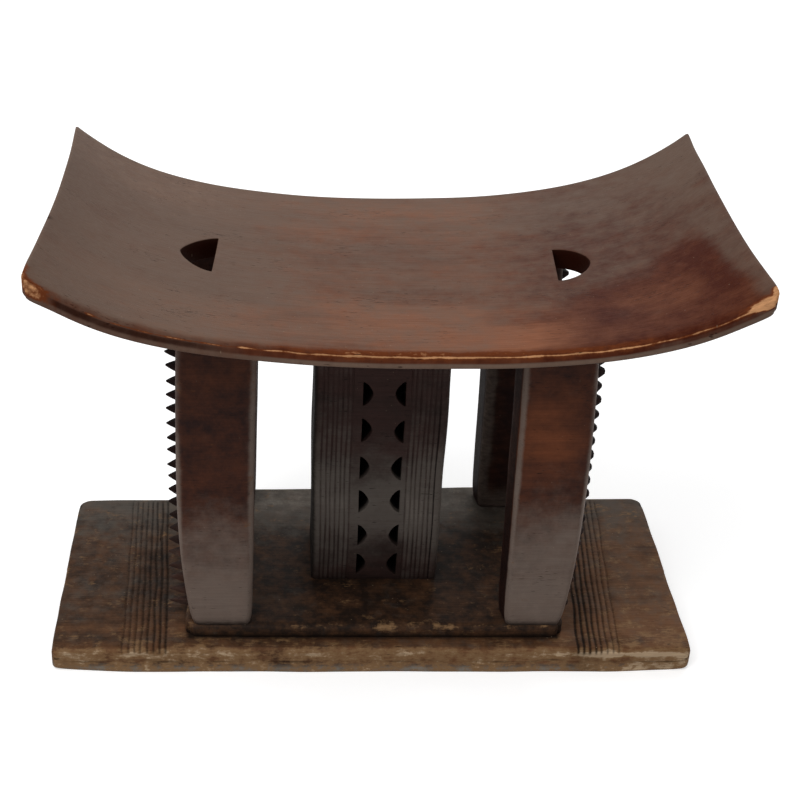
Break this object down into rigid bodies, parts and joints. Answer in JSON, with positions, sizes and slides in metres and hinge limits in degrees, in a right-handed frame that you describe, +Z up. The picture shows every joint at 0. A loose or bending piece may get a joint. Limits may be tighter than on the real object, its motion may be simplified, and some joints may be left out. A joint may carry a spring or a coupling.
{
  "type": "carved stool",
  "caption": "Carved wooden stool with an upswept saddle seat on toothed corner posts and a pierced, fluted central column over a plinth and flat base board.",
  "frame": {"origin": "middle of the base board's underside, which is the middle of the stool's footprint on the floor", "axes": "+X along the length of the seat, +Y from the front edge to the back edge, +Z up"},
  "size_m": [0.51, 0.2826, 0.3681],
  "materials": {
    "seat_wood": "dark stained and waxed, worn pale along the front edge",
    "base_wood": "dark stained, scuffed and dusty",
    "post_wood": "dark stained and waxed, rubbed at the arrises",
    "column_wood": "dark stained, fluted and pierced"
  },
  "bodies": {
    "root": {"seat": "seat_wood", "base_board": "base_wood", "plinth": "base_wood", "front_left_post": "post_wood", "front_right_post": "post_wood", "back_left_post": "post_wood", "back_right_post": "post_wood", "central_column": "column_wood"}
  },
  "joints": []
}
